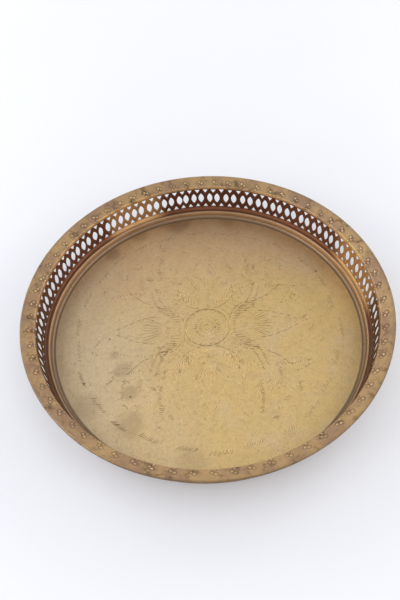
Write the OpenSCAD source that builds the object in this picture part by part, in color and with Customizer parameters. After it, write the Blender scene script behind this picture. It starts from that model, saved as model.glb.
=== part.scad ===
// Round brass serving tray: a shallow spun pan, a pierced gallery standing on its
// ledge, and a sloping stamped rim whose outer edge is rolled round a wire.
// Millimetres. The origin is the centre of the face that the tray rests on, +Z is up.

/* [Overall] */
// Outside diameter over the rolled edge
tray_d = 305; // [280:1:340]
// Height of the centre of the rolled edge above the table
edge_h = 41; // [40.5:0.1:44]

/* [Sheet and wire] */
// Thickness of the pan's sheet
pan_sheet = 1; // [0.8:0.05:1]
// Thickness of the gallery strip
gallery_sheet = 0.9; // [0.7:0.1:1.1]
// Thickness of the rim's sheet
rim_sheet = 0.7; // [0.6:0.05:0.8]
// Diameter of the wire inside the rolled edge
wire_d = 1.2; // [1:0.1:1.6]

/* [Pan] */
// Height of the sharp corner that the bead rounds off
bead_corner_h = 9.25; // [9.2:0.05:9.6]
// Height of the ledge that the gallery stands on
ledge_h = 7.6; // [7.2:0.1:7.6]
// Radius of the cove between the floor and the upstand
cove_r = 3; // [2:0.1:4]

/* [Gallery] */
// Radial distance from the tray's outside to the gallery's inner foot
gallery_inset = 13.35; // [13.1:0.05:14]
// Flare of the gallery from the vertical, in degrees
flare = 6.1; // [4:0.1:8]
// Height of the middle of the pointed ovals above the table
oval_mid_h = 22.9; // [22.4:0.1:23.4]
// Number of pointed ovals round the gallery
oval_count = 114; // [90:1:116]
// Width of a pointed oval
oval_w = 5.4; // [4.5:0.1:5.5]
// Height of a pointed oval
oval_h = 10.9; // [9:0.1:11.5]
// Width of a triangle at its base
triangle_w = 5; // [4:0.1:5.4]
// Height of a triangle from base to tip
triangle_h = 4; // [3.4:0.1:4.2]
// Distance from the ovals' middle line to a triangle's tip
triangle_gap = 6.2; // [5.9:0.1:6.5]

/* [Rim] */
// Height of the lip, where the collar turns out into the sloping flange
lip_h = 37.1; // [36.8:0.1:37.6]
// Radius of the lip's bend, on its show side
lip_r = 1.5; // [1.2:0.1:2]
// Depth of the collar below the lip
collar_depth = 2.4; // [1.8:0.1:2.6]

/* [Solder] */
// Leg of the two round fillets
fillet_leg = 0.9; // [0.6:0.1:1]
// Width of the gallery strip's butt joint
seam_w = 0.4; // [0.2:0.1:0.8]

/* [Hidden] */
$fn = 96;

BRASS = "#b8924f";
DARK_BRASS = "#8a6234";
WIRE_BRASS = "#a5854c";
SOLDER = "#a39a82";

tray_r = tray_d / 2;
bend_steps = 8;             // straight runs that stand for one bend of the sheet

// Gallery: a flared hoop, from the pan's ledge to just under the flange
foot_r = tray_r - gallery_inset;
gallery_top = lip_h - 1;
first_oval_angle = 192.5;
oval_step = 360 / oval_count;
seam_oval = floor(78 / oval_step);      // the oval just before the strip's joint
seam_angle = first_oval_angle + (seam_oval + 0.5) * oval_step;

// Radius of the gallery's inner face at height z
function gallery_in(z) = foot_r + (z - ledge_h) * tan(flare);
// Radius of the gallery's outer face at height z
function gallery_out(z) = gallery_in(z) + gallery_sheet / cos(flare);

// Pan: everything is placed from the gallery's foot inwards. The bead takes all the
// room that its corner leaves beside the groove's bend.
upstand_foot = [foot_r - 2.75, pan_sheet];
bead_corner = [foot_r - 2.2, bead_corner_h];
groove = [foot_r - 0.35, ledge_h];
groove_r = 0.5;
bead_r = bead_fit(upstand_foot, bead_corner, groove);
ledge_end = [gallery_out(ledge_h) + fillet_leg, ledge_h];

// Rim: the collar lines the gallery's top, and the flange runs tangent to the rolled edge
collar_end = [gallery_in(lip_h - collar_depth) - rim_sheet / cos(flare), lip_h - collar_depth];
lip_corner = [gallery_in(lip_h) - rim_sheet / cos(flare), lip_h];
wire_r = wire_d / 2;
roll_r = wire_r + rim_sheet;
roll_c = [tray_r - roll_r, edge_h];
lip_to_roll = roll_c - lip_corner;
flange_slope = atan2(lip_to_roll.y, lip_to_roll.x) + asin(roll_r / norm(lip_to_roll));
roll_turn = 285;            // degrees that the sheet wraps round the wire
wire_play = 0.03;           // gap left between the wire and the roll

function unit(v) = v / norm(v);
function turn_at(before, p, after) =
    let (din = unit(p - before), dout = unit(after - p))
    atan2(din.x * dout.y - din.y * dout.x, din * dout);
function bead_fit(before, p, after) =
    let (slope = atan2(p.y - after.y, after.x - p.x),
         room = norm(after - p) - groove_r * tan(slope / 2))
    0.97 * room / tan(abs(turn_at(before, p, after)) / 2);
function right_of(d) = [d.y, -d.x];
function reversed(list) = [for (i = [len(list) - 1:-1:0]) list[i]];

// One bend of radius r at corner p, between the corners before and after it:
// a list of [point, direction to the right of travel]
function bend(before, p, after, r) =
    let (din = unit(p - before),
         turn = turn_at(before, p, after),
         side = sign(turn),
         start = p - din * r * tan(abs(turn) / 2),
         centre = start - right_of(din) * side * r)
    [for (i = [0:bend_steps])
        let (a = atan2(din.y, din.x) + turn * i / bend_steps,
             right = [sin(a), -cos(a)])
        [centre + right * side * r, right]];

// Outline of a sheet whose show side follows the stations and which is t thick
function sheet_outline(stations, t) =
    concat([for (s = stations) s[0]],
           reversed([for (s = stations) s[0] + s[1] * t]));

// Spun dish. The show side runs from the centre over the floor, up the upstand,
// over the bead, down into the groove and out along the ledge.
module pan() {
    floor_centre = [0, pan_sheet];
    show_side = concat(
        [[floor_centre, [0, -1]]],
        bend(floor_centre, upstand_foot, bead_corner, cove_r),
        bend(upstand_foot, bead_corner, groove, bead_r),
        bend(bead_corner, groove, ledge_end, groove_r),
        [[ledge_end, [0, -1]]]);
    color(BRASS)
        rotate_extrude()
            polygon(sheet_outline(show_side, pan_sheet));
}

// Pointed oval, from two arcs that meet at its tips
module pointed_oval() {
    arc_r = (pow(oval_h, 2) + pow(oval_w, 2)) / (4 * oval_w);
    intersection_for (side = [-1, 1])
        translate([side * (arc_r - oval_w / 2), 0])
            circle(r = arc_r);
}

// Triangle with its tip towards the middle of the gallery; way is 1 above, -1 below
module triangle(way) {
    tip = triangle_gap;
    base = triangle_gap + triangle_h;
    polygon([[0, way * tip], [triangle_w / 2, way * base], [-triangle_w / 2, way * base]]);
}

// Places a flat shape as a cutter square to the gallery at an angle round the tray
module at_gallery(angle) {
    rotate([0, 0, angle])
        translate([gallery_in(oval_mid_h), 0, oval_mid_h])
            rotate([0, flare, 0])
                rotate([90, 0, 90])
                    linear_extrude(height = 6, center = true)
                        children();
}

// The gallery before it is pierced
module plain_hoop() {
    rotate_extrude()
        polygon([[gallery_in(ledge_h), ledge_h],
                 [gallery_out(ledge_h), ledge_h],
                 [gallery_out(gallery_top), gallery_top],
                 [gallery_in(gallery_top), gallery_top]]);
}

// Flared hoop with a row of pointed ovals, and triangles between them above and below.
// The two triangles at the strip's joint are left out.
module pierced_gallery() {
    color(DARK_BRASS)
        difference() {
            plain_hoop();
            for (i = [0:oval_count - 1]) {
                angle = first_oval_angle + i * oval_step;
                at_gallery(angle)
                    pointed_oval();
                if (i != seam_oval)
                    for (way = [-1, 1])
                        at_gallery(angle + oval_step / 2)
                            triangle(way);
            }
            seam_slot();
        }
}

// The butt joint of the gallery strip, as a thin radial slab
module seam_slot() {
    rotate([0, 0, seam_angle])
        translate([foot_r - 5, -seam_w / 2, 0])
            cube([15, seam_w, edge_h]);
}

// Collar, lip bend, sloping flange and rolled edge, in one sheet
module rim_flange() {
    flange_end = roll_c + roll_r * [-sin(flange_slope), cos(flange_slope)];
    steps = 4 * bend_steps;
    roll = [for (i = [0:steps])
        let (a = 90 + flange_slope - roll_turn * i / steps)
        [roll_c + roll_r * [cos(a), sin(a)], -[cos(a), sin(a)]]];
    bent = bend(collar_end, lip_corner, flange_end, lip_r);
    start = [collar_end, right_of(unit(lip_corner - collar_end))];
    color(BRASS)
        rotate_extrude()
            polygon(sheet_outline(concat([start], bent, roll), rim_sheet));
}

// Wire core of the rolled edge
module edge_wire() {
    color(WIRE_BRASS)
        rotate_extrude()
            translate(roll_c)
                circle(r = wire_r - wire_play);
}

// Fillet outside the gallery's foot, on the pan's ledge
module foot_solder() {
    top = ledge_h + fillet_leg;
    color(SOLDER)
        rotate_extrude()
            polygon([[gallery_out(ledge_h), ledge_h],
                     ledge_end,
                     [gallery_out(top), top]]);
}

// Height of the flange's underside at radius r
function flange_under(r) =
    lip_corner.y + (r - lip_corner.x) * tan(flange_slope) - rim_sheet / cos(flange_slope);

// Solder over the gallery's top edge and outside it, under the flange
module rim_solder() {
    inner = (gallery_in(gallery_top) + gallery_out(gallery_top)) / 2;
    outer = gallery_out(gallery_top) + fillet_leg;
    low = gallery_top - fillet_leg;
    color(SOLDER)
        rotate_extrude()
            polygon([[inner, gallery_top],
                     [gallery_out(gallery_top), gallery_top],
                     [gallery_out(low), low],
                     [outer, flange_under(outer)],
                     [inner, flange_under(inner)]]);
}

// Solder that fills the gallery strip's butt joint
module seam_solder() {
    color(SOLDER)
        intersection() {
            seam_slot();
            plain_hoop();
        }
}

pan();
pierced_gallery();
rim_flange();
edge_wire();
foot_solder();
rim_solder();
seam_solder();
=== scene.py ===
"""Looks of a round brass tray with a pierced gallery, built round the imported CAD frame.

Shapes are worked out in millimetres and turned into metres when a mesh is made. The tray's
axis is Z, it stands on z = 0, and the camera looks from -Y towards +Y.
"""
import math
import random

import bpy
import numpy as np
from mathutils import Matrix, Vector, kdtree
from mathutils.geometry import delaunay_2d_cdt


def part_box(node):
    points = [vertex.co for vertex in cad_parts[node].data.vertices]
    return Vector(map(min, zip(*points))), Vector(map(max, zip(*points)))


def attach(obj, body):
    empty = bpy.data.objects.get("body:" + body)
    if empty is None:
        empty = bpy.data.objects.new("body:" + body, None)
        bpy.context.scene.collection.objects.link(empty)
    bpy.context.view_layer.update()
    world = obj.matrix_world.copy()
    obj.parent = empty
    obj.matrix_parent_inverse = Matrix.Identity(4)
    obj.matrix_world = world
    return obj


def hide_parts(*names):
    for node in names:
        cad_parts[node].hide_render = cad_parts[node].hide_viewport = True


MM = 0.001
TAU = 2 * math.pi

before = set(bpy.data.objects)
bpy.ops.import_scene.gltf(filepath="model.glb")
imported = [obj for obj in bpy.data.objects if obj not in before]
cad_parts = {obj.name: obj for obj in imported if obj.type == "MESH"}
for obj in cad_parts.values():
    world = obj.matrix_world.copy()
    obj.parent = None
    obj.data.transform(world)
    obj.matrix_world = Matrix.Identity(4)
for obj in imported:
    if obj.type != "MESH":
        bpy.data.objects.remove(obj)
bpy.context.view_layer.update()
rng = random.Random(11)

# ---- Sizes, from the frame and the sheets' own thicknesses ----
PAN_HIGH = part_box("pan")[1] / MM
GALLERY_LOW, GALLERY_HIGH = (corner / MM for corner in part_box("pierced_gallery"))
RIM_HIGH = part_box("rim_flange")[1] / MM
WIRE_LOW, WIRE_HIGH = (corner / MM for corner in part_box("edge_wire"))

PAN_SHEET = 1.0
GALLERY_SHEET = 0.9
RIM_SHEET = 0.7
FLARE = math.radians(6.1)

RIM_R = RIM_HIGH.x
WIRE_R = (WIRE_HIGH.z - WIRE_LOW.z) / 2
ROLL_C = np.array([WIRE_HIGH.x - WIRE_R, (WIRE_HIGH.z + WIRE_LOW.z) / 2])
ROLL_R = RIM_R - ROLL_C[0]
LEDGE_H = GALLERY_LOW.z
GALLERY_TOP = GALLERY_HIGH.z
GALLERY_T = GALLERY_SHEET / math.cos(FLARE)
FOOT_R = GALLERY_HIGH.x - GALLERY_T - (GALLERY_TOP - LEDGE_H) * math.tan(FLARE)


def gallery_in(z):
    """Radius of the gallery's inner face at height z."""
    return FOOT_R + (z - LEDGE_H) * math.tan(FLARE)


# Pan corners, as (radius, height)
UPSTAND_FOOT = np.array([FOOT_R - 2.75, PAN_SHEET])
BEAD_CORNER = np.array([FOOT_R - 2.2, 9.25])
GROOVE = np.array([FOOT_R - 0.35, LEDGE_H])
LEDGE_END = np.array([PAN_HIGH.x, LEDGE_H])
COVE_R = 3.0
BEAD_R = 1.09
GROOVE_R = 0.5

# Rim corners
LIP_H = GALLERY_TOP + 1
LIP_R = 1.5
COLLAR_DEPTH = 2.4
COLLAR_T = RIM_SHEET / math.cos(FLARE)
LIP_CORNER = np.array([gallery_in(LIP_H) - COLLAR_T, LIP_H])
COLLAR_END = np.array([gallery_in(LIP_H - COLLAR_DEPTH) - COLLAR_T, LIP_H - COLLAR_DEPTH])
LIP_TO_ROLL = ROLL_C - LIP_CORNER
FLANGE_SLOPE = math.atan2(LIP_TO_ROLL[1], LIP_TO_ROLL[0]) + math.asin(
    ROLL_R / math.hypot(*LIP_TO_ROLL))
FLANGE_END = ROLL_C + ROLL_R * np.array([-math.sin(FLANGE_SLOPE), math.cos(FLANGE_SLOPE)])
ROLL_TURN = math.radians(285)

# Piercing
OVAL_COUNT = 114
OVAL_STEP = TAU / OVAL_COUNT
OVAL_W = 5.4
OVAL_H = 10.9
OVAL_MID_H = 22.9
FIRST_OVAL = math.radians(192.5)
SEAM_OVAL = int(math.radians(78) / OVAL_STEP)
SEAM_ANGLE = FIRST_OVAL + (SEAM_OVAL + 0.5) * OVAL_STEP
SEAM_W = 0.4
SEAM_HALF = SEAM_W / 2 / gallery_in(OVAL_MID_H)
TRIANGLE_W = 5.0
TRIANGLE_H = 4.0
TRIANGLE_GAP = 6.2


# ---- Mesh building ----
class Skin:
    """Gathers the vertices, faces and per-vertex marks of one piece, in millimetres."""

    def __init__(self):
        self.points = []
        self.marks = []
        self.faces = []
        self.count = 0

    def add(self, points, mark=0.0):
        """Adds points, and returns their numbers."""
        points = np.asarray(points, float)
        first = self.count
        self.points.append(points)
        self.marks.append(np.broadcast_to(np.asarray(mark, float), len(points)))
        self.count += len(points)
        return np.arange(first, self.count)

    def strip(self, a, b):
        """Quads between two closed rows. They look left when walking from a to b."""
        for i in range(len(a)):
            j = (i + 1) % len(a)
            self.faces.append((int(a[i]), int(b[i]), int(b[j]), int(a[j])))

    def sweep(self, row, rings, mark=0.0):
        """Joins a row to each ring in turn, and returns the last ring's numbers."""
        for ring in rings:
            new = self.add(ring, mark)
            self.strip(row, new)
            row = new
        return row

    def add_beside(self, row, row_places, points, marks):
        """Adds the points that aren't a row already made, and returns all their numbers."""
        numbers = np.zeros(len(points), int)
        numbers[row_places] = row
        free = np.setdiff1d(np.arange(len(points)), row_places)
        numbers[free] = self.add(points[free], marks[free])
        return numbers

    def triangles(self, numbers, faces, flip=False):
        for face in faces:
            corners = [int(numbers[i]) for i in face]
            self.faces.append(tuple(reversed(corners)) if flip else tuple(corners))

    def finish(self, name, material, sharp):
        """Makes the object, in metres, with smooth shading up to the sharp angle."""
        mesh = bpy.data.meshes.new(name)
        mesh.from_pydata((np.concatenate(self.points) * MM).tolist(), [], self.faces)
        mesh.validate()
        mesh.update()
        mark = mesh.attributes.new("mark", "FLOAT", "POINT")
        mark.data.foreach_set("value", np.concatenate(self.marks).astype(np.float32))
        mesh.shade_smooth()
        mesh.set_sharp_from_angle(angle=math.radians(sharp))
        mesh.materials.append(material)
        obj = bpy.data.objects.new(name, mesh)
        bpy.context.scene.collection.objects.link(obj)
        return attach(obj, "root")


def unit(v):
    return v / math.hypot(*v)


def right_of(v):
    return np.array([v[1], -v[0]])


def bend(before, corner, after, radius, steps):
    """Stations (point, direction to the right of travel) round one bend of a sheet."""
    into, out = unit(corner - before), unit(after - corner)
    turn = math.atan2(into[0] * out[1] - into[1] * out[0], float(into @ out))
    side = math.copysign(1, turn)
    start = corner - into * radius * math.tan(abs(turn) / 2)
    centre = start - right_of(into) * side * radius
    heading = math.atan2(into[1], into[0])
    stations = []
    for i in range(steps + 1):
        right = right_of(np.array([math.cos(heading + turn * i / steps),
                                   math.sin(heading + turn * i / steps)]))
        stations.append((centre + right * side * radius, right))
    return stations


def around(radius, height, angles):
    """Points of a ring, where radius and height may change round it."""
    radius = np.broadcast_to(radius, len(angles))
    height = np.broadcast_to(height, len(angles))
    return np.column_stack([radius * np.cos(angles), radius * np.sin(angles), height])


def hexagons(reach, spacing):
    """Points of a slightly shaken hexagonal grid that covers a disc."""
    shake = 0.08
    rows = []
    half = int(reach / spacing) + 1
    for j in range(-int(half * 1.2), int(half * 1.2) + 1):
        for i in range(-half, half + 1):
            x = (i + 0.5 * (j % 2)) * spacing
            y = j * spacing * math.sqrt(3) / 2
            if math.hypot(x, y) < reach:
                rows.append((x + rng.uniform(-shake, shake) * spacing,
                             y + rng.uniform(-shake, shake) * spacing))
    return np.array(rows)


def search_tree(points):
    """Tree that finds the numbers of nearby points, which have 2 or 3 coordinates."""
    tree = kdtree.KDTree(len(points))
    for i, p in enumerate(points):
        tree.insert((*p, 0)[:3], i)
    tree.balance()
    return tree


def clear_of(points, others, gap):
    """Keeps the points that are further than gap from all others."""
    tree = search_tree(others)
    return np.array([p for p in points if tree.find((*p, 0))[2] > gap])


def outside(points, loops):
    """Keeps the points that lie inside none of the loops, which are convex."""
    tree = search_tree(points)
    taken = set()
    for loop in loops:
        middle = loop.mean(axis=0)
        reach = np.hypot(*(loop - middle).T).max()
        edge = np.roll(loop, -1, axis=0) - loop
        for _, i, _ in tree.find_range((*middle, 0), reach):
            to = points[i] - loop
            turn = edge[:, 0] * to[:, 1] - edge[:, 1] * to[:, 0]
            if (turn > 0).all() or (turn < 0).all():
                taken.add(i)
    return np.array([p for i, p in enumerate(points) if i not in taken])


def triangulate(points, edges):
    """Delaunay triangles that keep the edges.

    Returns the points, the triangles, and for each input point its new number.
    """
    out = delaunay_2d_cdt([Vector(p) for p in points], edges, [], 0, 1e-5)
    new = np.array([tuple(p) for p in out[0]])
    place = np.zeros(len(points), int)
    for number, sources in enumerate(out[3]):
        for source in sources:
            place[source] = number
    return new, out[2], place


def waves(x, terms):
    """Sum of cosines, from (amplitude, cycles, phase) terms."""
    return sum(a * np.cos(n * x + p) for a, n, p in terms)


# ---- Engraving of the floor: every cut is a short tapering V groove ----
CUT_HALF_WIDTH = 0.32
CUT_DEPTH = 0.135
DASH = 2.3
DASH_GAP = 0.45
# Spacing of the points along a cut, along a line of dashes and along a cut's deepest line
SAMPLE = 0.9
DASH_SAMPLE = 0.3
SPINE_SAMPLE = 0.12
# Ring chased round the rosette: radius, half width, depth
RING_R = 19.5
RING_HALF = 1.2
RING_DEPTH = 0.16


def bezier(a, b, c, d, count):
    """Points of a cubic curve."""
    t = np.linspace(0, 1, count)[:, None]
    a, b, c, d = (np.array(p, float) for p in (a, b, c, d))
    return (1 - t) ** 3 * a + 3 * t * (1 - t) ** 2 * b + 3 * t * t * (1 - t) * c + t ** 3 * d


def arc(centre, radius, start, end, count):
    """Points of an arc, with its angles in degrees."""
    a = np.radians(np.linspace(start, end, count))
    return np.column_stack([centre[0] + radius * np.cos(a), centre[1] + radius * np.sin(a)])


def turned(points, degrees):
    """Points turned about the tray's axis."""
    a = math.radians(degrees)
    turn = np.array([[math.cos(a), math.sin(a)], [-math.sin(a), math.cos(a)]])
    return np.asarray(points, float) @ turn


def resampled(points, spacing):
    """Points evenly spaced along a path."""
    steps = np.hypot(*np.diff(points, axis=0).T)
    along = np.concatenate([[0], np.cumsum(steps)])
    count = max(2, int(round(along[-1] / spacing)) + 1)
    want = np.linspace(0, along[-1], count)
    return np.column_stack([np.interp(want, along, points[:, k]) for k in (0, 1)])


class Engraving:
    """The cuts, as (centre line, half width, depth)."""

    def __init__(self):
        self.cuts = []

    def cut(self, points, weight, shake=0.12):
        """One cut by a graver, with a little of the hand's shake."""
        points = resampled(np.asarray(points, float), SAMPLE)
        drift = np.array([rng.gauss(0, shake), rng.gauss(0, shake)])
        weight *= rng.uniform(0.75, 1.15)
        self.cuts.append((points + drift, CUT_HALF_WIDTH * weight, CUT_DEPTH * weight))

    def dashes(self, path, weight, length=DASH, gap=DASH_GAP):
        """A line made of short cuts."""
        path = resampled(path, DASH_SAMPLE)
        per = max(2, int(length / DASH_SAMPLE))
        step = max(per, int((length + gap) / DASH_SAMPLE))
        for first in range(0, len(path) - per + 1, step):
            self.cut(path[first:first + per], weight, shake=0.07)

    def ticks(self, path, length, spacing, lean, weight, fade=0.0):
        """Short cuts side by side along a path, at an angle to it in degrees."""
        path = resampled(path, spacing)
        runs = np.gradient(path, axis=0)
        for i, (p, run) in enumerate(zip(path, runs)):
            share = i / max(1, len(path) - 1)
            size = length * (1 - fade * share) * rng.uniform(0.8, 1.15)
            a = math.atan2(run[1], run[0]) + math.radians(lean + rng.uniform(-5, 5))
            tip = p + size * np.array([math.cos(a), math.sin(a)])
            mid = (p + tip) / 2 + right_of(tip - p) * 0.08
            self.cut(bezier(p, mid, mid, tip, 6), weight, shake=0.1)


def rosette(work):
    """Ring, spokes and dashes in the middle of the floor."""
    work.dashes(arc((0, 0), RING_R, 0, 360, 160), 2.1, length=7, gap=0.1)
    work.dashes(arc((0, 0), 18.0, 4, 364, 150), 1.2, length=4)
    work.cut(arc((0, 0), 2.9, 0, 345, 24), 1.5)
    work.cut(arc((0, 0), 1.2, 0, 300, 12), 1.4)
    for count, inner, outer, weight in ((16, 4.2, 7.4, 1.5), (26, 8.2, 11.8, 1.6),
                                        (36, 15.4, 17.0, 1.0)):
        for i in range(count):
            ray = np.array([[inner, 0], [outer + rng.uniform(-0.6, 0.9), 0]])
            work.cut(turned(ray, 360 * (i + 0.5) / count + rng.uniform(-3, 3)), weight)


def fringe(work, way, spread, inner, length):
    """Row of short radial cuts, as on the rosette's outer edge."""
    row = arc((0, 0), inner, way - spread, way + spread, 16)
    work.ticks(row, length, 1.7, -90, 1.1)


def petal_base(work, way, side):
    """One side of a petal's first lobe: an arch from the rosette, hatched along the petal."""
    flip = np.array([1, side])
    arch = bezier((20, 6), (23, 19), (32, 29), (45, 24.5), 40) * flip
    work.dashes(turned(arch, way), 1.7, length=5, gap=0.3)
    for i in range(10):
        start = arch[3 + 3 * i] + np.array([1.3, -1.0 * side])
        reach = 10.5 - 0.75 * abs(i - 3)
        stroke = bezier(start, start + np.array([reach * 0.4, -0.9 * side]),
                        start + np.array([reach * 0.7, -1.0 * side]),
                        start + np.array([reach, -0.2 * side]), 10)
        work.cut(turned(stroke, way), 1.4)
    eye = turned([[33.5, 5.0 * side]], way)[0]
    work.cut(arc(eye, 3.7, 10, 350, 24), 1.2)
    work.cut(arc(eye, 1.6, 20, 300, 14), 0.9)


def great_petal(work, way, reach):
    """Large lotus petal: dotted outline, pointed inner leaf, fan at its base."""
    leaf_tip = reach * 0.84
    for side in (1, -1):
        flip = np.array([1, side])
        petal_base(work, way, side)
        outline = bezier((45, 24.5), (62, 30), (90, 22), (reach, 0), 50) * flip
        work.dashes(turned(outline, way), 1.25, length=2.2, gap=0.9)
        work.ticks(turned(outline[6:30], way), 2.6, 2.4, 62 * side, 0.8)
        leaf = bezier((46, 14), (58, 14.5), (72, 7), (leaf_tip, 0), 40) * flip
        work.dashes(turned(leaf, way), 1.75, length=6, gap=0.3)
        rib = bezier((60, 7), (68, 4.4), (75, 2), (leaf_tip - 2, 0.5), 16) * flip
        work.dashes(turned(rib, way), 0.9, length=4)
    for i in range(-4, 5):
        tip = 60 - 1.4 * abs(i)
        ray = bezier((39, i * 1.1), (44, i * 2.1), (50, i * 2.9), (tip, i * 3.5), 10)
        work.cut(turned(ray, way), 1.25)


def corner_spray(work, way):
    """Between two petals: a stem with hatched bands, a fan flower and feathered leaves."""
    for inner, spread in ((21.5, 20), (26.5, 19), (31.5, 17), (36.5, 13)):
        fringe(work, way + rng.uniform(-2, 2), spread, inner, 3.7)
    stem = bezier((35, -1.5), (45, 2.0), (58, -2), (68, 0), 20)
    work.dashes(turned(stem, way), 1.2, length=5)
    for i in range(13):
        ray = bezier((3.4, 0), (5.5, 0.9), (8, 1.0), (10.2 - 0.7 * (i % 2), 0.2), 8)
        ray = turned(ray, -96 + 16 * i) + np.array([75, 0])
        work.cut(turned(ray, way), 1.2)
    work.dashes(turned(arc((75, 0), 12, -105, 105, 60), way), 1.1)
    for side in (1, -1):
        flip = np.array([1, side])
        band = bezier((34, 12), (42, 15), (52, 11), (62, 5), 40) * flip
        for offset, length in ((0, 5.0), (5.6, 3.8)):
            row = band - np.array([0, offset * side])
            work.ticks(turned(row, way), length, 1.8, 44 * side, 1.2)
        spine = bezier((69, 9), (77, 13), (83, 21), (89, 31), 30) * flip
        work.ticks(turned(spine, way), 5.2, 2.0, 62 * side, 1.2, fade=0.3)
        outer = bezier((69, 9), (84, 10), (92, 20), (89, 31), 30) * flip
        work.dashes(turned(outer, way), 1.15, length=3.4)
        inner = bezier((69, 9), (70, 20), (78, 29), (89, 31), 30) * flip
        work.dashes(turned(inner, way), 1.15, length=3.4)
        row = bezier((54, 14), (60, 17), (69, 18), (77, 17.5), 20) * flip
        work.ticks(turned(row, way), 4.4, 1.8, 24 * side, 1.1)
        tail = np.array([[82, 24], [100, 25.5]]) * flip
        work.dashes(turned(tail, way), 1.2, length=2.6, gap=0.8)
        bud = arc((97, 9 * side), 3.0, 0, 340, 18)
        work.cut(turned(bud, way), 1.0)
        work.ticks(turned(arc((90, 0), 8, 20 * side, 70 * side, 12), way), 3.0, 1.9,
                   -70 * side, 1.0)


def ground(work, count=150):
    """Small groups of parallel strokes that fill the ground between the figures."""
    for _ in range(count):
        radius = 24 + 84 * rng.random() ** 0.8
        way = rng.uniform(0, 360)
        row = arc((radius, 0), rng.uniform(4, 9), rng.uniform(90, 150), rng.uniform(190, 250), 12)
        work.ticks(turned(row, way)[:rng.randint(4, 7)], rng.uniform(2.2, 4.5),
                   rng.uniform(1.3, 1.8), rng.uniform(50, 130), 1.1)


def feather_border(work, count=26, radius=118):
    """Clusters of leaning cuts near the floor's edge."""
    for i in range(count):
        start = 360 * (i + 0.3) / count + rng.uniform(-1.2, 1.2)
        row = arc((0, 0), radius + rng.uniform(-3, 1.5), start, start + rng.uniform(6.5, 8.5), 12)
        work.ticks(row, rng.uniform(5.4, 7), rng.uniform(1.9, 2.3), rng.uniform(38, 66), 1.4,
                   fade=0.2)


def engrave():
    work = Engraving()
    rosette(work)
    for way, reach in ((0, 101), (90, 97), (180, 100), (270, 99)):
        fringe(work, way, 12, 23.0, 3.0)
        great_petal(work, way, reach)
    for way in (45, 135, 225, 315):
        corner_spray(work, way)
    ground(work)
    feather_border(work)
    return work.cuts


# Dents and corrosion pits in the floor: angle in degrees, radius, half width
PITS = ((205, 116, 1.5), (191, 102, 0.8), (224, 92, 1.2), (184, 86, 1.1), (27.5, 119, 1.3),
        (125, 127, 0.9), (129, 120, 1.0), (136, 129, 0.9), (20, 86, 0.8), (37, 72, 0.7),
        (96, 82, 0.6), (330, 92, 0.7), (207, 112, 0.6), (145, 131, 0.8))
PIT_DEPTH = 0.28


def cut_edges(cuts):
    """Points and constraint edges of the cuts: a centre line and two sides that meet."""
    points, edges, spine = [], [], []
    for line, half, depth in cuts:
        run = np.gradient(line, axis=0)
        run /= np.maximum(np.hypot(*run.T), 1e-9)[:, None]
        across = np.column_stack([-run[:, 1], run[:, 0]])
        share = np.linspace(0, 1, len(line))
        taper = np.clip(np.sin(math.pi * share), 0, 1) ** 0.5
        width = (half * taper)[1:-1, None]
        first = len(points)
        inner = len(line) - 2
        points.extend(line)
        points.extend(line[1:-1] + across[1:-1] * width)
        points.extend(line[1:-1] - across[1:-1] * width)
        last = first + len(line) - 1
        edges.extend((first + i, first + i + 1) for i in range(len(line) - 1))
        for offset in (0, inner):
            row = [first, *range(last + 1 + offset, last + 1 + offset + inner), last]
            edges.extend(zip(row[:-1], row[1:]))
        deepest = resampled(line, SPINE_SAMPLE)
        for p, t in zip(deepest, np.linspace(0, 1, len(deepest))):
            deep = max(0.0, math.sin(math.pi * t)) ** 0.5
            spine.append((p[0], p[1], half * deep, depth * deep))
    return points, edges, spine


def groove_depths(points, spine):
    """Depth of the engraving and its share of a full cut at each point."""
    tree = search_tree([s[:2] for s in spine])
    widest = 1.9
    depth = np.zeros(len(points))
    for n, p in enumerate(points):
        for _, i, gap in tree.find_range((*p, 0), widest):
            half, deep = spine[i][2], spine[i][3]
            if gap < half:
                depth[n] = max(depth[n], deep * (1 - gap / half))
    return depth, np.clip(depth / CUT_DEPTH, 0, 1)


def chased_ring(x, y):
    """How much of the ring's full depth the floor has at each point."""
    return np.exp(-((np.hypot(x, y) - RING_R) / RING_HALF) ** 2)


def swell(x, y):
    """Slight unevenness of the hand-worked floor."""
    return (0.05 * np.sin(x / 31 + 0.8) * np.cos(y / 27 - 0.4)
            + 0.03 * np.sin(x / 13 - y / 17 + 1.1) + 0.02 * np.cos(x / 8 + y / 11))


PAN_STEPS = 720
FLOOR_GRID = 2.6
BASE_GRID = 7
SWELL_FADE = 12
BACK_MARK = 0.35            # share of a groove's brown on the underside and back


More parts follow.
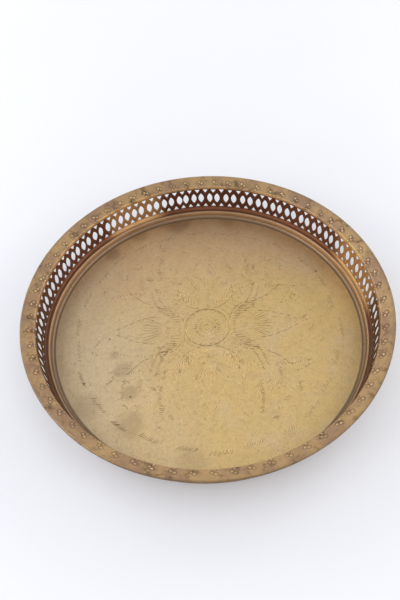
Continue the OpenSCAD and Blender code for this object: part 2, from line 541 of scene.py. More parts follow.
def fill_floor(skin, floor_r, angles):
    """Engraved floor out to the cove. Returns the numbers of its outer ring."""
    points, edges, spine = cut_edges(engrave())
    for degrees, radius, half in PITS:
        a = math.radians(degrees)
        centre = (radius * math.cos(a), radius * math.sin(a))
        spine.append((*centre, half, PIT_DEPTH))
        points.append(centre)
        for share in (0.5, 1.0):
            points.extend(arc(centre, half * share, 0, 330, 12))
    for offset in (-2, -1.2, -0.5, 0.5, 1.2, 2):
        circle = arc((0, 0), RING_R + offset * RING_HALF, 0, 358, 150)
        points.extend(clear_of(circle, points, 0.3))
    grid = clear_of(hexagons(floor_r - 1.5, FLOOR_GRID), points, 0.7)
    ring = around(floor_r, 0, angles)[:, :2]
    inner = np.concatenate([np.array(points), grid])
    flat, faces, place = triangulate(np.concatenate([inner, ring]), edges)
    depth, mark = groove_depths(flat, spine)
    fade = np.clip((floor_r - np.hypot(*flat.T)) / SWELL_FADE, 0, 1)
    chased = chased_ring(flat[:, 0], flat[:, 1])
    heights = PAN_SHEET + swell(flat[:, 0], flat[:, 1]) * fade - depth - RING_DEPTH * chased
    numbers = skin.add(np.column_stack([flat, heights]), np.maximum(mark, 0.3 * chased))
    skin.triangles(numbers, faces)
    return numbers[place[len(inner):]]


def fill_base(skin, row, base_r, angles):
    """Flat underside, inside the row of its outer ring."""
    grid = hexagons(base_r - 4, BASE_GRID)
    ring = around(base_r, 0, angles)[:, :2]
    flat, faces, place = triangulate(np.concatenate([grid, ring]), [])
    points = np.column_stack([flat, np.zeros(len(flat))])
    marks = np.full(len(flat), BACK_MARK)
    numbers = skin.add_beside(row, place[len(grid):], points, marks)
    skin.triangles(numbers, faces, flip=True)


def make_pan(material):
    """Spun dish with the engraved floor."""
    angles = np.arange(PAN_STEPS) * TAU / PAN_STEPS
    floor_centre = np.array([0.0, PAN_SHEET])
    skin = Skin()
    show = (bend(floor_centre, UPSTAND_FOOT, BEAD_CORNER, COVE_R, 7)
            + bend(UPSTAND_FOOT, BEAD_CORNER, GROOVE, BEAD_R, 10)
            + bend(BEAD_CORNER, GROOVE, LEDGE_END, GROOVE_R, 3))
    front = [p for p, _ in show[1:]] + [LEDGE_END]
    back = [LEDGE_END - np.array([0, PAN_SHEET])]
    back += [p + r * PAN_SHEET for p, r in show[::-2]]
    row = fill_floor(skin, show[0][0][0], angles)
    row = skin.sweep(row, [around(*point, angles) for point in front])
    row = skin.sweep(row, [around(*point, angles) for point in back], BACK_MARK)
    fill_base(skin, row, back[-1][0], angles)
    piece = skin.finish("engraved_pan", material, sharp=17)
    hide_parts("pan")


# ---- Gallery: punched in a flat strip, so each opening has rounded show-side edges ----
# The strip is laid out flat as a ring, whose radius is STRIP_R0 plus the slant height
STRIP_R0 = 122.0
SLANT = (GALLERY_TOP - LEDGE_H) / math.cos(FLARE)
# Offsets from an opening's edge, with the depth of the surface there
EDGE_ROUNDING = ((0.36, 0.0), (0.2, 0.05), (0.07, 0.15), (0.0, 0.32))
BACK_ROUNDING = ((0.0, GALLERY_SHEET - 0.1), (0.1, GALLERY_SHEET))


def on_gallery(flat, depth):
    """Maps points of the laid-out strip to the flared hoop, depth below its show side."""
    slant = np.hypot(*flat.T) - STRIP_R0
    angle = np.arctan2(flat[:, 1], flat[:, 0])
    z = np.maximum(LEDGE_H, LEDGE_H + slant * math.cos(FLARE) - depth * math.sin(FLARE))
    r = FOOT_R + slant * math.sin(FLARE) + depth * math.cos(FLARE)
    buckle = waves(angle, ((0.09, 5, 0.4), (0.06, 11, 1.9), (0.04, 19, 0.2)))
    r = r + buckle * np.clip(slant / 6, 0, 1) * np.clip((SLANT - slant) / 6, 0, 1)
    return np.column_stack([r * np.cos(angle), r * np.sin(angle), z])


def lens(width, height, count):
    """Outline of a pointed oval with slightly worn tips."""
    t = np.linspace(0, TAU, count, endpoint=False)
    x = np.sign(np.sin(t)) * np.abs(np.sin(t)) ** 1.7 * width / 2
    return np.column_stack([-x, np.cos(t) * height / 2])


def worn_triangle(width, height, way, count):
    """Outline of a triangle with worn corners; way is 1 for a tip that points down."""
    corners = np.array([[0, 0], [width / 2, height], [-width / 2, height]])
    round_r = 0.25
    outline = []
    for i in range(3):
        before, corner, after = corners[i - 1], corners[i], corners[(i + 1) % 3]
        stations = bend(before, corner, after, round_r, count // 3 - 1)
        outline.extend(p for p, _ in stations)
    outline = np.array(outline) + np.array([0, TRIANGLE_GAP])
    return outline if way > 0 else outline[::-1] * np.array([1, -1])


def outward(outline):
    """Unit directions out of a closed outline that runs anticlockwise."""
    run = np.roll(outline, -1, axis=0) - np.roll(outline, 1, axis=0)
    run /= np.hypot(*run.T)[:, None]
    return np.column_stack([run[:, 1], -run[:, 0]])


def openings():
    """Every opening of the strip: its middle's angle and its outline, as the punch left it."""
    found = []
    drift = ((0.006, 3, 0.5), (0.004, 7, 2.0), (0.003, 12, 0.8))
    for i in range(OVAL_COUNT):
        pair = 0.0035 * (1 if i % 2 else -1)
        angle = FIRST_OVAL + i * OVAL_STEP
        angle += float(waves(angle, drift)) + pair * rng.uniform(0.2, 1)
        wide, tall = rng.uniform(0.93, 1.06), rng.uniform(0.95, 1.03)
        oval = lens(OVAL_W * wide, OVAL_H * tall, 24)
        lean = turned(oval, rng.gauss(0, 1.6))
        lean[:, 1] += rng.gauss(0, 0.12)
        found.append((angle, lean))
    count = len(found)
    for i in range(count):
        if i == SEAM_OVAL:
            continue
        a, b = found[i][0], found[(i + 1) % count][0]
        b += TAU if b < a - 1 else 0
        for way in (1, -1):
            tip = worn_triangle(TRIANGLE_W * rng.uniform(0.92, 1.08),
                                TRIANGLE_H * rng.uniform(0.93, 1.04), way, 15)
            tip[:, 1] += rng.gauss(0, 0.08)
            found.append(((a + b) / 2 + rng.gauss(0, 0.0006), tip))
    return found


def laid_out(angle, outline):
    """An outline round a middle angle, as points of the laid-out strip."""
    mid_slant = (OVAL_MID_H - LEDGE_H) / math.cos(FLARE)
    a = angle - outline[:, 0] / gallery_in(OVAL_MID_H)
    rho = STRIP_R0 + mid_slant + outline[:, 1]
    return np.column_stack([rho * np.cos(a), rho * np.sin(a)])


def strip_border(steps):
    """The strip's two long edges and its two ends, as one closed loop, anticlockwise."""
    sweep = SEAM_ANGLE + np.linspace(SEAM_HALF, TAU - SEAM_HALF, steps)
    ends = np.linspace(0, SLANT, 24)[1:-1]
    outer = [((STRIP_R0 + SLANT) * math.cos(a), (STRIP_R0 + SLANT) * math.sin(a))
             for a in sweep]
    last = [((STRIP_R0 + s) * math.cos(sweep[-1]), (STRIP_R0 + s) * math.sin(sweep[-1]))
            for s in ends[::-1]]
    inner = [(STRIP_R0 * math.cos(a), STRIP_R0 * math.sin(a)) for a in sweep[::-1]]
    first = [((STRIP_R0 + s) * math.cos(sweep[0]), (STRIP_R0 + s) * math.sin(sweep[0]))
             for s in ends]
    return np.array(outer + last + inner + first)


def fill_strip(skin, border, loops, spacing, depth, mark, flip):
    """Fills the strip between its border and the openings. Returns the loops' numbers."""
    on_border, on_foot = -2, -3
    rims = [border] + loops
    sizes = [len(rim) for rim in rims]
    starts = np.concatenate([[0], np.cumsum(sizes)])
    edges = [(int(s) + i, int(s) + (i + 1) % n)
             for s, n in zip(starts, sizes) for i in range(n)]
    fixed = np.concatenate(rims)
    grid = hexagons(STRIP_R0 + SLANT, spacing)
    radii = np.hypot(*grid.T)
    grid = grid[(radii > STRIP_R0 + 0.5) & (radii < STRIP_R0 + SLANT - 0.5)]
    grid = outside(clear_of(grid, fixed, spacing * 0.45), loops)
    flat, faces, place = triangulate(np.concatenate([fixed, grid]), edges)
    owner = np.full(len(flat), -1)
    for k, (s, n) in enumerate(zip(starts[1:], sizes[1:])):
        owner[place[s:s + n]] = k
    owner[place[:sizes[0]]] = on_border
    owner[(owner == on_border) & (np.hypot(*flat.T) < STRIP_R0 + 0.01)] = on_foot
    kept = []
    slot = math.cos(SEAM_HALF)
    seam = np.array([math.cos(SEAM_ANGLE), math.sin(SEAM_ANGLE)])
    for face in faces:
        owners = {int(owner[i]) for i in face}
        if owners == {on_foot} or (len(owners) == 1 and min(owners) >= 0):
            continue
        middle = flat[list(face)].mean(axis=0)
        if max(owners) < 0 and float(middle @ seam) / math.hypot(*middle) > slot:
            continue
        kept.append(face)
    numbers = skin.add(on_gallery(flat, depth), mark)
    skin.triangles(numbers, kept, flip)
    return [numbers[place[s:s + n]] for s, n in zip(starts[:-1], sizes)]


def make_gallery(material):
    """Pierced hoop, open at its soldered joint."""
    skin = Skin()
    holes = openings()
    border = strip_border(900)

    def loops_at(offset):
        return [laid_out(angle, outline + outward(outline) * offset)
                for angle, outline in holes]

    front = fill_strip(skin, border, loops_at(EDGE_ROUNDING[0][0]), 1.5, 0.0, 0.0, False)
    rows = front[1:]
    for offset, depth in EDGE_ROUNDING[1:] + BACK_ROUNDING[:1]:
        share = depth / GALLERY_SHEET
        new_rows = []
        for row, loop in zip(rows, loops_at(offset)):
            new = skin.add(on_gallery(loop, depth), share)
            skin.strip(new, row)
            new_rows.append(new)
        rows = new_rows
    back = fill_strip(skin, border, loops_at(BACK_ROUNDING[1][0]), 2.2, GALLERY_SHEET, 0.4,
                      True)
    for row, new in zip(rows, back[1:]):
        skin.strip(new, row)
    skin.strip(front[0], back[0])
    piece = skin.finish("pierced_band", material, sharp=38)
    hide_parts("pierced_gallery")


# ---- Rim: collar, lip, stamped flange and rolled edge ----
RIM_STEPS = 1200
STAMP_COUNT = 66
BOSS_R = 1.2
BOSS_H = 0.44
DENT = 0.12
FIRST_STAMP = 0.31          # of the pitch of the stamps
FLANGE_GRID = 1.35
ROLL_STEPS = 14


def stamp_bosses():
    """Bosses of the trefoil stamps, as (angle, path length from the lip, radius, height)."""
    bosses = []
    mid_r = (LIP_CORNER[0] + FLANGE_END[0]) / 2
    for i in range(STAMP_COUNT):
        angle = (i + FIRST_STAMP) * TAU / STAMP_COUNT + rng.uniform(-0.006, 0.006)
        lean = rng.gauss(0, 0.3)
        reach = rng.uniform(-0.4, 0.4)
        for across, along, size in ((0.6, 0.9, 0.85), (-1.6, 3.6, 0.9), (1.0, 5.0, 1.0)):
            bosses.append((angle + (across + lean * along / 4) / mid_r, along + reach,
                           BOSS_R * size * rng.uniform(0.92, 1.08),
                           BOSS_H * size * rng.uniform(0.5, 1.1)))
    return bosses


def flange_point(along):
    """Radius and height on the flange's show side, along from the lip's corner."""
    return (LIP_CORNER[0] + along * math.cos(FLANGE_SLOPE),
            LIP_CORNER[1] + along * math.sin(FLANGE_SLOPE))


class StampRelief:
    """Height of the stamped surface over the plain flange."""

    def __init__(self, bosses):
        self.bosses = bosses
        places = []
        for angle, along, _, _ in bosses:
            r, z = flange_point(along)
            places.append((r * math.cos(angle), r * math.sin(angle), z))
        self.tree = search_tree(places)

    def at(self, points):
        """Relief, and a mark from -1 (in a boss's dirty ring) to 1 (on its crown)."""
        relief = np.zeros(len(points))
        mark = np.zeros(len(points))
        for n, p in enumerate(points):
            crown = ring = 0
            for _, i, gap in self.tree.find_n(tuple(p), 3):
                radius, height = self.bosses[i][2], self.bosses[i][3]
                t = gap / radius
                if t < 1:
                    relief[n] += height * (1 - t * t) ** 1.3
                    crown = max(crown, (1 - t * t) * height / BOSS_H)
                ring = max(ring, math.exp(-((t - 1.35) / 0.4) ** 2))
            relief[n] -= DENT * ring
            mark[n] = crown if crown > 0 else -ring
        return relief, mark


def hand_turned(radius, height, angles):
    """Points round the axis on a rim whose outer edge waves a little, in and down."""
    share = np.clip((radius - LIP_CORNER[0]) / (RIM_R - LIP_CORNER[0]), 0, 1)
    inward = waves(angles, ((0.12, 2, 0.6), (0.07, 5, 2.2), (0.05, 9, 0.3))) - 0.26
    lift = waves(angles, ((0.10, 3, 1.0), (0.06, 7, 0.1))) - 0.18
    return around(radius + inward * share, height + lift * share, angles)


def rolled_edge():
    """Stations (point, direction to the right of travel) of the sheet rolled round the wire."""
    roll = []
    for i in range(ROLL_STEPS + 1):
        a = math.pi / 2 + FLANGE_SLOPE - ROLL_TURN * i / ROLL_STEPS
        out = np.array([math.cos(a), math.sin(a)])
        roll.append((ROLL_C + ROLL_R * out, -out))
    return roll


def raised(relief, ring, right, angles):
    """Lifts a ring's points off the sheet by the stamps' relief. Returns its marks too."""
    height, mark = relief.at(ring)
    direction = around(-right[0], 0, angles)
    direction[:, 2] = -right[1]
    return ring + direction * height[:, None], mark


def flange_spots(bosses, start, length):
    """Points for the flange's mesh, laid out flat: closer together on the stamps."""
    spots = []
    for angle, along, radius, _ in bosses:
        reach = start[0] + along - math.hypot(*(start - LIP_CORNER))
        centre = (reach * math.cos(angle), reach * math.sin(angle))
        spots.append(centre)
        for share, count in ((0.45, 6), (0.8, 10), (1.05, 12), (1.5, 12), (2.1, 12)):
            spots.extend(arc(centre, radius * share, 0, 360 - 360 / count, count))
    spots = np.array(spots)
    radii = np.hypot(*spots.T)
    spots = spots[(radii > start[0] + 0.45) & (radii < start[0] + length - 0.45)]
    grid = hexagons(start[0] + length, FLANGE_GRID)
    radii = np.hypot(*grid.T)
    grid = grid[(radii > start[0] + 0.6) & (radii < start[0] + length - 0.6)]
    return np.concatenate([spots, clear_of(grid, spots, 0.7)])


def fill_flange(skin, relief, row, start, end, angles):
    """Stamped flange from the lip's row outwards. Returns the numbers of its outer ring.

    It is laid out flat as a ring whose radius is the slant distance from the axis.
    """
    length = math.hypot(*(end - start))
    inner_ring = around(start[0], 0, angles)[:, :2]
    outer_ring = around(start[0] + length, 0, angles)[:, :2]
    spots = flange_spots(relief.bosses, start, length)
    loop = [(i, (i + 1) % RIM_STEPS) for i in range(RIM_STEPS)]
    edges = loop + [(a + RIM_STEPS, b + RIM_STEPS) for a, b in loop]
    points = np.concatenate([inner_ring, outer_ring, spots])
    flat, faces, place = triangulate(points, edges)
    radii = np.hypot(*flat.T)
    share = (radii - start[0]) / length
    faces = [f for f in faces if radii[list(f)].mean() > start[0] + 0.01
             or max(radii[list(f)]) > start[0] + 0.3]
    at = np.arctan2(flat[:, 1], flat[:, 0])
    section = start + share[:, None] * (end - start)
    plain = hand_turned(section[:, 0], section[:, 1], at)
    height, mark = relief.at(plain)
    normal = around(-math.sin(FLANGE_SLOPE), math.cos(FLANGE_SLOPE), at)
    stamped = plain + normal * height[:, None]
    numbers = skin.add_beside(row, place[:RIM_STEPS], stamped, mark)
    skin.triangles(numbers, faces)
    return numbers[place[RIM_STEPS:2 * RIM_STEPS]]


def make_rim(material):
    """The whole rim as one sheet with a back and a front."""
    angles = np.arange(RIM_STEPS) * TAU / RIM_STEPS
    relief = StampRelief(stamp_bosses())
    skin = Skin()
    lip = bend(COLLAR_END, LIP_CORNER, FLANGE_END, LIP_R, 7)
    inward = right_of(unit(LIP_CORNER - COLLAR_END))
    collar = [(COLLAR_END, inward), ((COLLAR_END + lip[0][0]) / 2, inward)]
    roll = rolled_edge()
    rows = [skin.add(*raised(relief, hand_turned(*point, angles), right, angles))
            for point, right in collar + lip]
    for row, new in zip(rows[:-1], rows[1:]):
        skin.strip(row, new)
    start, end = lip[-1][0], roll[0][0]
    row = fill_flange(skin, relief, rows[-1], start, end, angles)
    back = [p + r * RIM_SHEET for p, r in roll[::-2]]
    back.append(start + lip[-1][1] * RIM_SHEET)
    back += [p + r * RIM_SHEET for p, r in lip[-3::-2]]
    back.append(COLLAR_END + inward * RIM_SHEET)
    path = [p for p, _ in roll[1:]] + back
    row = skin.sweep(row, [hand_turned(*point, angles) for point in path])
    skin.strip(row, rows[0])
    piece = skin.finish("stamped_rim", material, sharp=40)
    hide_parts("rim_flange")


# ---- Materials ----
class Nodes:
    """A short way to write a node tree."""

    def __init__(self, name):
        self.material = bpy.data.materials.new(name)
        self.material.use_nodes = True
        self.tree = self.material.node_tree
        self.shader = self.tree.nodes["Principled BSDF"]
        self.coords = self.tree.nodes.new("ShaderNodeTexCoord").outputs["Object"]

    def link(self, value, socket):
        if hasattr(value, "links"):
            self.tree.links.new(value, socket)
        else:
            socket.default_value = value

    def noise(self, scale, detail=4.0, roughness=0.55, coords=None, distortion=0.0):
        node = self.tree.nodes.new("ShaderNodeTexNoise")
        node.inputs["Scale"].default_value = scale
        node.inputs["Detail"].default_value = detail
        node.inputs["Roughness"].default_value = roughness
        node.inputs["Distortion"].default_value = distortion
        self.tree.links.new(coords or self.coords, node.inputs["Vector"])
        return node.outputs["Fac"]

    def ramp(self, value, low, high):
        """0 below low, 1 above high, smooth between."""
        node = self.tree.nodes.new("ShaderNodeMapRange")
        node.interpolation_type = "SMOOTHSTEP"
        node.inputs["From Min"].default_value = low
        node.inputs["From Max"].default_value = high
        self.link(value, node.inputs["Value"])
        return node.outputs["Result"]

    def math(self, operation, a, b=0.0):
        node = self.tree.nodes.new("ShaderNodeMath")
        node.operation = operation
        for value, socket in zip((a, b), node.inputs):
            self.link(value, socket)
        return node.outputs["Value"]

    def scaled(self, value, factor):
        return self.math("MULTIPLY", value, factor)

    def length(self, x, y):
        """Length of the flat vector (x, y)."""
        return self.math("SQRT", self.math("ADD", self.scaled(x, x), self.scaled(y, y)))

    def mix(self, factor, a, b):
        node = self.tree.nodes.new("ShaderNodeMix")
        node.data_type = "RGBA"
        self.link(factor, node.inputs["Factor"])
        for value, socket in ((a, node.inputs["A"]), (b, node.inputs["B"])):
            self.link(value if hasattr(value, "links") else (*value, 1.0), socket)
        return node.outputs["Result"]

    def tint(self, colour, mask, strength, tone):
        """The colour, mixed with a tone where the mask is, as far as the strength."""
        return self.mix(self.scaled(mask, strength), colour, tone)

    def blend(self, factor, low, high):
        """A number between low and high."""
        node = self.tree.nodes.new("ShaderNodeMapRange")
        node.inputs["To Min"].default_value = low
        node.inputs["To Max"].default_value = high
        self.link(factor, node.inputs["Value"])
        return node.outputs["Result"]

    def mark(self):
        node = self.tree.nodes.new("ShaderNodeAttribute")
        node.attribute_name = "mark"
        return node.outputs["Fac"]

    def axis(self, name):
        node = self.tree.nodes.new("ShaderNodeSeparateXYZ")
        self.tree.links.new(self.coords, node.inputs["Vector"])
        return node.outputs[name]

    def radius(self):
        """Distance from the tray's axis, in metres."""
        return self.length(self.axis("X"), self.axis("Y"))

    def polar(self):
        """(distance from the axis, a little of the angle, height) as one vector."""
        angle = self.math("ARCTAN2", self.axis("Y"), self.axis("X"))
        node = self.tree.nodes.new("ShaderNodeCombineXYZ")
        for value, socket in ((self.radius(), "X"), (self.scaled(angle, 0.004), "Y"),
                              (self.axis("Z"), "Z")):
            self.tree.links.new(value, node.inputs[socket])
        return node.outputs["Vector"]

    def bump(self, height, strength, distance, normal=None):
        node = self.tree.nodes.new("ShaderNodeBump")
        node.inputs["Strength"].default_value = strength
        node.inputs["Distance"].default_value = distance
        self.tree.links.new(height, node.inputs["Height"])
        if normal is not None:
            self.tree.links.new(normal, node.inputs["Normal"])
        return node.outputs["Normal"]

    def surface(self, **sockets):
        for name, value in sockets.items():
            self.link(value, self.shader.inputs[name.replace("_", " ")])
        return self.material


def spot(nodes, degrees, radius, size):
    """1 near a place on the floor, fading to 0 over its size in millimetres."""
    a = math.radians(degrees)
    x = nodes.math("SUBTRACT", nodes.axis("X"), radius * math.cos(a) * MM)
    y = nodes.math("SUBTRACT", nodes.axis("Y"), radius * math.sin(a) * MM)
    gap = nodes.length(x, y)
    ragged = nodes.scaled(nodes.math("SUBTRACT", nodes.noise(60, 5), 0.5), size * MM * 0.9)
    return nodes.ramp(nodes.math("ADD", gap, ragged), size * MM, size * MM * 0.35)


def facing(nodes, degrees, spread):
    """1 at an angle round the tray, fading to 0 over the spread in degrees."""
    a = math.radians(degrees)
    along = nodes.math("ADD", nodes.scaled(nodes.axis("X"), math.cos(a)),
                       nodes.scaled(nodes.axis("Y"), math.sin(a)))
    share = nodes.math("DIVIDE", along, nodes.radius())
    return nodes.ramp(share, math.cos(math.radians(spread * 1.5)), 1.0)


def painted_highlight_sides(nodes):
    """Painted highlight: 1 at the two sides of the tray where the brass is painted lighter to
    stand for reflected light, 0 elsewhere.
    """
    return nodes.math("MAXIMUM", facing(nodes, 14, 12), facing(nodes, 117, 10))


# Stains on the floor: angle in degrees, radius, size, strength. The four at radius 128 to 131
# between 78 and 133 degrees, by the wall at the back, are painted shade for the wall's dark
# reflection in the floor.
STAINS_AND_WALL_SHADE = ((208, 82, 11, 0.3), (222, 90, 9, 0.3), (100, 130, 16, 0.35), (78, 131, 11, 0.2),
          (118, 131, 14, 0.25), (133, 128, 10, 0.35), (196, 84, 6, 0.3), (234, 110, 16, 0.25),
          (215, 122, 15, 0.2), (262, 122, 16, 0.18))


def pan_material():
    nodes = Nodes("aged_pan_brass_and_painted_light")
    gold = (0.83, 0.59, 0.255)
    olive = (0.78, 0.61, 0.385)
    rose = (0.74, 0.50, 0.30)
    dark = (0.075, 0.042, 0.022)
    umber = (0.26, 0.155, 0.085)
    rust = (0.16, 0.075, 0.03)
    # The next two tones are painted shade for the riser below the bead, the darker one low down.
    riser_shade_dark = (0.20, 0.132, 0.085)
    band_brown = (0.37, 0.25, 0.16)
    tan = (0.62, 0.44, 0.30)
    pale = (0.95, 0.78, 0.50)
    drift = nodes.scaled(nodes.math("SUBTRACT", nodes.noise(11, 4), 0.5), 0.16)
    # Olive to the left and rose at the back: partly the brass's uneven tone, partly painted
    # colour of the light and reflections on those sides.
    left = nodes.ramp(nodes.math("ADD", nodes.axis("X"), drift), 0.01, -0.12)
    back = nodes.ramp(nodes.math("ADD", nodes.axis("Y"), drift), 0.01, 0.12)
    colour = nodes.mix(left, gold, olive)
    colour = nodes.tint(colour, back, 0.8, rose)
    cloud = nodes.noise(24, 7, 0.66)
    colour = nodes.tint(colour, nodes.ramp(cloud, 0.44, 0.7), 0.5, olive)
    for scale, tone, depth in ((75, umber, 0.13), (230, umber, 0.2), (330, dark, 0.14),
                               (290, pale, 0.22)):
        streaks = nodes.ramp(nodes.noise(scale, 4, 0.6, distortion=2.0), 0.46, 0.72)
        colour = nodes.tint(colour, streaks, depth, tone)
    # Painted shade: the floor darkens towards umber, in uneven patches, as it nears the wall.
    reach = nodes.math("ADD", nodes.radius(), nodes.scaled(drift, 0.05))
    edge = nodes.scaled(nodes.ramp(reach, 0.112, 0.134),
                      nodes.blend(nodes.noise(34, 5, 0.6), 0.0, 0.14))
    colour = nodes.mix(edge, colour, umber)
    # Painted shade: the riser and cove between floor and bead are darkened, most towards the
    # bottom, where shade falls in the corner below the bead.
    riser = nodes.scaled(nodes.ramp(nodes.radius(), 0.1326, 0.1340),
                       nodes.blend(cloud, 0.85, 1.0))
    painted_riser_shade = nodes.mix(nodes.ramp(nodes.axis("Z"), 0.0034, 0.0058), riser_shade_dark, band_brown)
    colour = nodes.mix(riser, colour, painted_riser_shade)
    # The bead's crest is tan, and pale with painted highlight at the two bright sides.
    crest = nodes.ramp(nodes.axis("Z"), 0.0078, 0.0088)
    colour = nodes.mix(crest, colour, nodes.mix(painted_highlight_sides(nodes), tan, pale))
    specks = nodes.ramp(nodes.noise(210, 3, 0.5), 0.70, 0.76)
    colour = nodes.tint(colour, specks, 0.6, dark)
    groove = nodes.ramp(nodes.mark(), 0.05, 0.8)
    colour = nodes.tint(colour, groove, 0.72, rust)
    # Real stains, and painted shade in the four back patches by the wall.
    for degrees, radius, size, depth in STAINS_AND_WALL_SHADE:
        stain = nodes.scaled(spot(nodes, degrees, radius, size), depth)
        colour = nodes.mix(stain, colour, umber)
    rough = nodes.blend(cloud, 0.42, 0.56)
    scratch = nodes.noise(42, 9, 0.75, distortion=0.6)
    spun = nodes.noise(900, 2, 0.5, coords=nodes.polar())
    normal = nodes.bump(scratch, 0.45, 0.0006)
    normal = nodes.bump(spun, 0.25, 0.00008, normal)
    return nodes.surface(Base_Color=colour, Metallic=1.0, Roughness=rough, Normal=normal)


def gallery_material():
    nodes = Nodes("tarnished_gallery_brass_and_painted_sheen")
    worn = (0.33, 0.20, 0.105)
    dull = (0.105, 0.045, 0.031)
    soot = (0.03, 0.014, 0.010)
    band_brown = (0.25, 0.13, 0.09)
    pale = (0.80, 0.60, 0.36)
    cloud = nodes.noise(70, 6, 0.65)
    # The lighter brass colour is painted highlight at the two bright sides and random uneven tone
    # elsewhere.
    sheen_and_tone = nodes.math("ADD", painted_highlight_sides(nodes), nodes.scaled(cloud, 0.5))
    colour = nodes.mix(nodes.ramp(sheen_and_tone, 0.25, 1.1), dull, worn)
    colour = nodes.tint(colour, nodes.ramp(nodes.mark(), 0.1, 0.6), 0.75, soot)
    # The foot band is brown, and pale with painted highlight at the two bright sides.
    foot = nodes.ramp(nodes.axis("Z"), 0.0132, 0.0112)
    colour = nodes.mix(foot, colour, nodes.mix(painted_highlight_sides(nodes), band_brown, pale))
    rough = nodes.blend(cloud, 0.34, 0.5)
    normal = nodes.bump(nodes.noise(240, 4), 0.35, 0.0002)
    return nodes.surface(Base_Color=colour, Metallic=1.0, Roughness=rough, Normal=normal)


def rim_material():
    nodes = Nodes("aged_rim_brass_and_painted_light")
    gold = (0.50, 0.335, 0.165)
    rose = (0.36, 0.23, 0.145)
    dark = (0.07, 0.042, 0.024)
    rubbed_crown_and_sheen = (0.90, 0.72, 0.46)
    cloud = nodes.noise(34, 7, 0.7)
    colour = nodes.mix(nodes.ramp(cloud, 0.40, 0.62), gold, rose)
    mottle = nodes.ramp(nodes.noise(260, 5, 0.7), 0.45, 0.75)
    colour = nodes.tint(colour, mottle, 0.4, rose)
    stain = nodes.ramp(nodes.noise(120, 5, 0.7), 0.5, 0.72)
    colour = nodes.tint(colour, stain, 0.7, dark)
    dirt = nodes.ramp(nodes.mark(), -0.1, -0.9)
    colour = nodes.tint(colour, dirt, 0.52, dark)
    # Boss tops lighter: partly brass rubbed bright, partly painted highlight.
    crown = nodes.ramp(nodes.mark(), 0.3, 0.9)
    colour = nodes.tint(colour, crown, 0.45, rubbed_crown_and_sheen)
    # Painted shade: the rolled outer edge is darkened for the dark reflection it shows.
    outer = nodes.ramp(nodes.radius(), 0.1508, 0.1521)
    colour = nodes.tint(colour, outer, 0.8, dark)
    rough = nodes.math("SUBTRACT", nodes.blend(cloud, 0.46, 0.58),
                       nodes.scaled(crown, 0.2))
    normal = nodes.bump(nodes.noise(150, 7, 0.7), 0.45, 0.0003)
    return nodes.surface(Base_Color=colour, Metallic=1.0, Roughness=rough, Normal=normal)


def wire_material():
    nodes = Nodes("drawn_wire_brass")
    cloud = nodes.noise(140, 4)
    colour = nodes.mix(nodes.ramp(cloud, 0.35, 0.7), (0.5, 0.35, 0.15), (0.25, 0.16, 0.08))
    normal = nodes.bump(nodes.noise(500, 3), 0.3, 0.0001)
    return nodes.surface(Base_Color=colour, Metallic=1.0, Roughness=nodes.blend(cloud, 0.35, 0.6),
                         Normal=normal)


def solder_material():
    nodes = Nodes("dull_solder")
    cloud = nodes.noise(180, 5, 0.6)
    colour = nodes.mix(nodes.ramp(cloud, 0.3, 0.7), (0.42, 0.37, 0.26), (0.17, 0.14, 0.1))
    normal = nodes.bump(nodes.noise(320, 3, 0.55), 0.6, 0.0003)
    return nodes.surface(Base_Color=colour, Metallic=1.0, Roughness=nodes.blend(cloud, 0.4, 0.65),
                         Normal=normal)


def floor_material():
    nodes = Nodes("pale_table")
    cloud = nodes.noise(3, 3)
    colour = nodes.mix(cloud, (0.785, 0.79, 0.82), (0.82, 0.825, 0.855))
    return nodes.surface(Base_Color=colour, Roughness=0.6)


# ---- Stage, light and camera ----
def make_floor():
    """Large flat pale table top, a hair under the tray so the two faces don't coincide."""
    mesh = bpy.data.meshes.new("table")
    reach = 4.0
    top = -0.05 * MM
    mesh.from_pydata([(-reach, -reach, top), (reach, -reach, top), (reach, reach, top),
                      (-reach, reach, top)], [], [(0, 1, 2, 3)])
    mesh.materials.append(floor_material())
    table = bpy.data.objects.new("table", mesh)
    bpy.context.scene.collection.objects.link(table)


SKYLIGHT = (0.93, 0.96, 1.0)
NEUTRAL = (1.0, 1.0, 1.0)
# Soft lights: name, colour, azimuths and elevation in degrees, width, height, brightness
LIGHTS = (("left_window", SKYLIGHT, (150, 190), 28, 1.0, 0.55, 3.7),
          ("left_high", SKYLIGHT, (180,), 54, 0.95, 0.7, 0.6),
          ("right_window", NEUTRAL, (-10, 30), 28, 1.0, 0.55, 3.1),
          ("front_wall", NEUTRAL, (210, 250, 290, 330), 12, 1.05, 0.5, 3.0),
          ("back_wall", NEUTRAL, (50, 90, 130), 9, 1.05, 0.42, 1.6),
          ("ceiling", NEUTRAL, (0,), 85, 0.9, 0.9, 0.4))
LIGHT_DISTANCE = 1.6


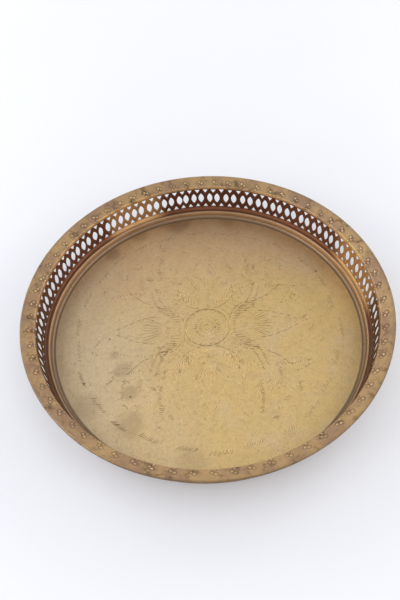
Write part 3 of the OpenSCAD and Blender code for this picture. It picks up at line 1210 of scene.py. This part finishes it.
def area_light(name, colour, azimuth, elevation, width, height, brightness):
    """Soft panel that faces the tray, placed by its direction from it."""
    light = bpy.data.lights.new(name, "AREA")
    light.shape = "RECTANGLE"
    light.size = width
    light.size_y = height
    light.energy = math.pi * width * height * brightness
    light.color = colour
    a, e = math.radians(azimuth), math.radians(elevation)
    place = Vector((math.cos(e) * math.cos(a), math.cos(e) * math.sin(a), math.sin(e)))
    obj = bpy.data.objects.new(name, light)
    obj.location = place * LIGHT_DISTANCE
    obj.rotation_euler = place.to_track_quat("Z", "Y").to_euler()
    obj.visible_camera = False
    bpy.context.scene.collection.objects.link(obj)


def make_light():
    world = bpy.data.worlds.new("studio")
    world.use_nodes = True
    background = world.node_tree.nodes["Background"]
    background.inputs["Color"].default_value = (0.975, 0.98, 1.0, 1)
    background.inputs["Strength"].default_value = 0.56
    bpy.context.scene.world = world
    for name, colour, azimuths, *panel in LIGHTS:
        for azimuth in azimuths:
            area_light(name, colour, azimuth, *panel)


CAMERA_ELEVATION = math.radians(52.94)
CAMERA_DISTANCE = 3.038 * RIM_R
CAMERA_YAW = math.radians(-0.54)
CAMERA_PITCH = math.radians(-0.04)
CAMERA_ROLL = math.radians(-3.80)
CAMERA_AIM_H = 41.4


def make_camera():
    """Looks at the middle of the rim, a little rolled."""
    back = Vector((0, -math.cos(CAMERA_ELEVATION), math.sin(CAMERA_ELEVATION)))
    place = back * CAMERA_DISTANCE + Vector((0, 0, CAMERA_AIM_H))
    right = Vector((1, 0, 0))
    frame_axes = Matrix((right, back.cross(right), back)).transposed()
    turn = (Matrix.Rotation(-CAMERA_YAW, 3, "Y") @ Matrix.Rotation(CAMERA_PITCH, 3, "X")
            @ Matrix.Rotation(CAMERA_ROLL, 3, "Z"))
    camera = bpy.data.objects.new("camera", bpy.data.cameras.new("camera"))
    camera.data.lens = 33.7
    camera.data.clip_start = 0.01
    camera.matrix_world = Matrix.Translation(place * MM) @ (frame_axes @ turn).to_4x4()
    bpy.context.scene.collection.objects.link(camera)
    bpy.context.scene.camera = camera


make_camera()
make_light()
make_floor()
make_pan(pan_material())
make_gallery(gallery_material())
make_rim(rim_material())

solder = solder_material()
for name, material in (("edge_wire", wire_material()), ("foot_solder", solder),
                       ("rim_solder", solder), ("seam_solder", solder)):
    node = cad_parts[name]
    node.data.materials.clear()
    node.data.materials.append(material)

scene = bpy.context.scene
scene.view_settings.view_transform = "Standard"
